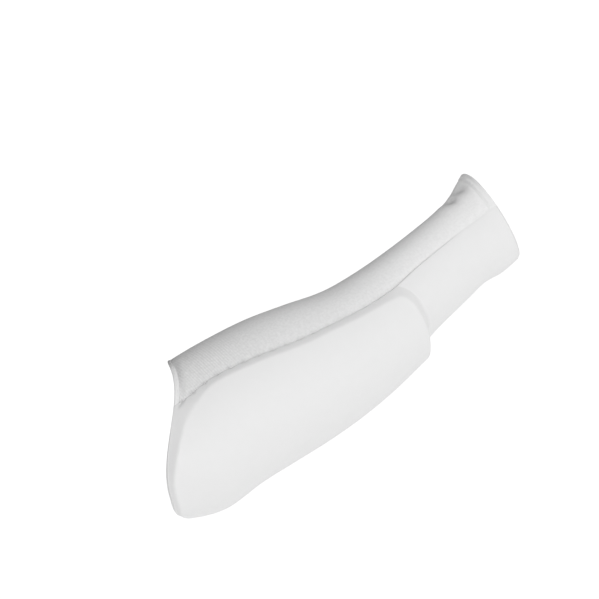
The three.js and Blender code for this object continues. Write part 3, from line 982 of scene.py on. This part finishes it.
def new_material(name):
    """Matte cloth with constant values on the shader's own sockets."""
    look = CLOTHS[name]
    material = bpy.data.materials.new(name)
    material.use_nodes = True
    shader = material.node_tree.nodes["Principled BSDF"]
    shader.inputs["Base Color"].default_value = (look["grey"], look["grey"], look["grey"], 1)
    shader.inputs["Roughness"].default_value = look["roughness"]
    shader.inputs["Sheen Weight"].default_value = look["sheen"]
    shader.inputs["Sheen Roughness"].default_value = SHEEN_ROUGHNESS
    shader.inputs["Specular IOR Level"].default_value = SPECULAR
    return material, material.node_tree


def feed(tree, socket, value):
    """Link a socket to another one, or give it a constant."""
    if isinstance(value, bpy.types.NodeSocket):
        tree.links.new(value, socket)
    else:
        socket.default_value = value


def add_node(tree, kind, **inputs):
    made = tree.nodes.new(kind)
    for name, value in inputs.items():
        feed(tree, made.inputs[name.replace("_", " ")], value)
    return made


def math_node(tree, operation, first, second):
    made = tree.nodes.new("ShaderNodeMath")
    made.operation = operation
    feed(tree, made.inputs[0], first)
    feed(tree, made.inputs[1], second)
    return made.outputs[0]


def map_range(tree, value, places, values):
    made = add_node(tree, "ShaderNodeMapRange", Value=value, From_Min=places[0], From_Max=places[1],
                    To_Min=values[0], To_Max=values[1])
    return made.outputs["Result"]


def object_place(tree):
    return tree.nodes.new("ShaderNodeTexCoord").outputs["Object"]


def split_place(tree, vector, axis):
    return add_node(tree, "ShaderNodeSeparateXYZ", Vector=vector).outputs[axis]


def mesh_value(tree, name, output):
    made = tree.nodes.new("ShaderNodeAttribute")
    made.attribute_name = name
    return made.outputs[output]


def noise(tree, vector, scale, detail=2.0):
    made = add_node(tree, "ShaderNodeTexNoise", Vector=vector, Scale=scale, Detail=detail)
    return made.outputs["Fac"]


def bands(tree, vector, pitch, direction, distortion=0.0):
    """Stripes from 0 to 1 with the given pitch in millimetres."""
    scale = WAVE_UNIT / (pitch * MM)
    made = add_node(tree, "ShaderNodeTexWave", Vector=vector, Scale=scale, Distortion=distortion)
    made.bands_direction = direction
    return made.outputs["Fac"]


def scaled(tree, value, factor, offset):
    return math_node(tree, "ADD", math_node(tree, "MULTIPLY", value, factor), offset)


def less_painted_shade(tree, value):
    """Grey value less the painted shade that the mesh carries."""
    return math_node(tree, "SUBTRACT", value, mesh_value(tree, "painted_shade", "Fac"))


def finish_material(material, tree, value, relief):
    """Give a cloth its grey value as colour and its relief as bump."""
    look = CLOTHS[material.name]
    shader = tree.nodes["Principled BSDF"]
    colour = tree.nodes.new("ShaderNodeCombineColor")
    for socket in colour.inputs[:3]:
        tree.links.new(value, socket)
    tree.links.new(colour.outputs["Color"], shader.inputs["Base Color"])
    bump = add_node(tree, "ShaderNodeBump", Height=relief, Strength=look["bump"],
                    Distance=look["bump_mm"] * MM)
    tree.links.new(bump.outputs["Normal"], shader.inputs["Normal"])
    return material


def knit_material():
    """Ribbed elastic knit: painted shade in the valleys between the ribs and towards the elbow, and mottled."""
    material, tree = new_material("ribbed_knit")
    where = object_place(tree)
    x = split_place(tree, where, "X")

    def along(ramp, values):
        return map_range(tree, x, (ramp[0] * MM, ramp[1] * MM), values)

    ribs = bands(tree, where, RIB_PITCH, "X", RIB_WOBBLE)
    valleys = math_node(tree, "SUBTRACT", ribs, RIB_MIDDLE)
    patches = math_node(tree, "MULTIPLY", noise(tree, where, PATCH_SCALE, FINE_DETAIL), PATCH_GAIN)
    # Painted shade in the rib valleys, fading towards the wrist, in random patches
    painted_shade = math_node(tree, "MULTIPLY", valleys, along(RIBS_FADE_X, KNIT_RIB_PAINTED_SHADE))
    painted_shade = math_node(tree, "MULTIPLY", painted_shade, patches)
    grain = math_node(tree, "SUBTRACT", noise(tree, where, KNIT_GRAIN_SCALE), NOISE_MIDDLE)
    mottle = math_node(tree, "MULTIPLY", grain, along(KNIT_GREY_X, KNIT_MOTTLE))
    # Knit's grey, darker towards the elbow as painted shade
    value = math_node(tree, "ADD", along(KNIT_GREY_X, KNIT_GREY_AND_PAINTED_SHADE), painted_shade)
    value = math_node(tree, "ADD", value, mottle)
    ridges = math_node(tree, "MULTIPLY", ribs, along(RIBS_FADE_X, KNIT_RIB_BUMP))
    relief = math_node(tree, "ADD", noise(tree, where, KNIT_FUZZ_SCALE, FINE_DETAIL), ridges)
    return finish_material(material, tree, less_painted_shade(tree, value), relief)


def jersey_material():
    """Smooth fine jersey: faint wales and a faint mottle."""
    material, tree = new_material("smooth_jersey")
    where = mesh_value(tree, "cloth", "Vector")
    wales = bands(tree, where, WALE_PITCH, "Y", WEAVE_WOBBLE)
    courses = bands(tree, where, COURSE_PITCH, "X", WEAVE_WOBBLE)
    weave = math_node(tree, "MULTIPLY", wales, courses)
    grain = noise(tree, object_place(tree), COVER_GRAIN_SCALE, COVER_GRAIN_DETAIL)
    mottle = math_node(tree, "SUBTRACT", grain, NOISE_MIDDLE)
    value = scaled(tree, mottle, COVER_MOTTLE, COVER_GREY)
    value = scaled(tree, weave, WEAVE_SHADE, value)
    return finish_material(material, tree, less_painted_shade(tree, value), weave)


def hem_material():
    """Turned hem: the same knit drawn tight, so paler and smoother than the ribs."""
    material, tree = new_material("turned_hem")
    where = object_place(tree)
    value = scaled(tree, noise(tree, where, HEM_GRAIN_SCALE, FINE_DETAIL), HEM_MOTTLE, HEM_GREY)
    relief = noise(tree, where, HEM_FUZZ_SCALE, FINE_DETAIL)
    return finish_material(material, tree, less_painted_shade(tree, value), relief)


def foam_material():
    """Open-celled foam."""
    material, tree = new_material("white_foam")
    where = object_place(tree)
    cells = add_node(tree, "ShaderNodeTexVoronoi", Vector=where, Scale=CELL_SCALE).outputs["Distance"]
    return finish_material(material, tree, scaled(tree, cells, CELL_SHADE, FOAM_GREY), cells)


def thread_material():
    """Twisted white thread."""
    material, tree = new_material("white_thread")
    twist = bands(tree, object_place(tree), TWIST_PITCH, "DIAGONAL")
    return finish_material(material, tree, scaled(tree, twist, TWIST_SHADE, THREAD_GREY), twist)


def make_guard():
    sleeve, cover = make_sleeve(), make_cover()
    foam = make_foam()
    elbow_hem, wrist_hem = make_elbow_hem(), make_wrist_hem()
    seam_stitches, hem_stitches = make_stitches()
    knit, jersey, hem, thread = knit_material(), jersey_material(), hem_material(), thread_material()
    dressed = (
        (sleeve, "sleeve", "knit", knit),
        (cover, "pad_cover", "cover", jersey),
        (foam, "foam_pad", "foam", foam_material()),
        (elbow_hem, "elbow_hem", "hem", hem),
        (wrist_hem, "wrist_hem", "hem", hem),
        (seam_stitches, None, "cover", thread),
        (hem_stitches, None, "hem", thread),
    )
    for piece, node, slot, material in dressed:
        piece.data.materials.append(material)
        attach(piece, "root")
        if node:
            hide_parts(node)


def floor_material():
    """White that glows a little brighter on the wall than on the floor."""
    material = bpy.data.materials.new("floor_white")
    material.use_nodes = True
    tree = material.node_tree
    shader = tree.nodes["Principled BSDF"]
    shader.inputs["Base Color"].default_value = (FLOOR_GREY, FLOOR_GREY, FLOOR_GREY, 1)
    shader.inputs["Roughness"].default_value = 1.0
    shader.inputs["Emission Color"].default_value = (1, 1, 1, 1)
    height = split_place(tree, object_place(tree), "Z")
    glow = map_range(tree, height, (FLOOR_Z, FLOOR_Z + WALL_BEND), GLOW)
    glow.node.interpolation_type = "SMOOTHSTEP"
    tree.links.new(glow, shader.inputs["Emission Strength"])
    return material


def make_bowl():
    """Pale floor that curves up into a low wall all round."""
    flat_radius, bend_z = WALL_RADIUS - WALL_BEND, FLOOR_Z + WALL_BEND
    profile = [(FLOOR_HOLE, FLOOR_Z), (flat_radius, FLOOR_Z)]
    for turn in np.linspace(0, math.pi / 2, BEND_STEPS + 1)[1:]:
        profile.append((flat_radius + WALL_BEND * math.sin(turn), bend_z - WALL_BEND * math.cos(turn)))
    profile.append((WALL_RADIUS, WALL_TOP))
    turns = np.radians(np.arange(0, 360, BOWL_STEP))
    points = np.array([[(r * math.cos(t), r * math.sin(t), z) for t in turns] for r, z in profile])
    faces = grid_quads(len(profile), len(turns), True, 0, True).tolist()
    bowl = new_object("floor_bowl", points.reshape(-1, 3) / MM, faces)
    bowl.data.materials.append(floor_material())


def make_light():
    """One large soft lamp, above the front."""
    world = bpy.data.worlds.new("studio")
    world.use_nodes = True
    background = world.node_tree.nodes["Background"]
    background.inputs["Color"].default_value = (WORLD_GREY, WORLD_GREY, WORLD_GREY, 1)
    bpy.context.scene.world = world
    lamp = bpy.data.lights.new("front_softbox", "AREA")
    lamp.shape = "RECTANGLE"
    lamp.size, lamp.size_y = LAMP_SIZE
    lamp.energy = LAMP_STRENGTH * math.pi * lamp.size * lamp.size_y
    box = bpy.data.objects.new("front_softbox", lamp)
    bpy.context.scene.collection.objects.link(box)
    raised = math.radians(LAMP_ELEVATION)
    back = Vector((0, -math.cos(raised), math.sin(raised)))
    box.location = back * LAMP_DISTANCE
    box.rotation_mode = "QUATERNION"
    box.rotation_quaternion = back.to_track_quat("Z", "Y")
    box.visible_camera = False


def make_camera():
    """Camera without perspective, with the part's origin at its pixel of the picture."""
    turn, roll = math.radians(CAMERA_AZIMUTH), math.radians(CAMERA_ROLL)
    back = Vector((math.sin(turn), -math.cos(turn), 0))
    along = Vector((math.cos(turn), math.sin(turn), 0))
    up = Vector((0, 0, 1))
    right = along * math.cos(roll) - up * math.sin(roll)
    top = along * math.sin(roll) + up * math.cos(roll)
    centre = (PICTURE - 1) / 2
    across = (centre - ORIGIN_PIXEL[0]) * MM_PER_PIXEL * MM
    down = (centre - ORIGIN_PIXEL[1]) * MM_PER_PIXEL * MM
    target = right * across - top * down
    data = bpy.data.cameras.new("camera")
    data.type = "ORTHO"
    data.ortho_scale = PICTURE * MM_PER_PIXEL * MM
    camera = bpy.data.objects.new("camera", data)
    bpy.context.scene.collection.objects.link(camera)
    camera.matrix_world = Matrix((right, top, back)).transposed().to_4x4()
    camera.matrix_world.translation = target + back * CAMERA_DISTANCE
    bpy.context.scene.camera = camera


make_guard()
make_bowl()
make_light()
make_camera()
bpy.context.scene.view_settings.view_transform = "Standard"
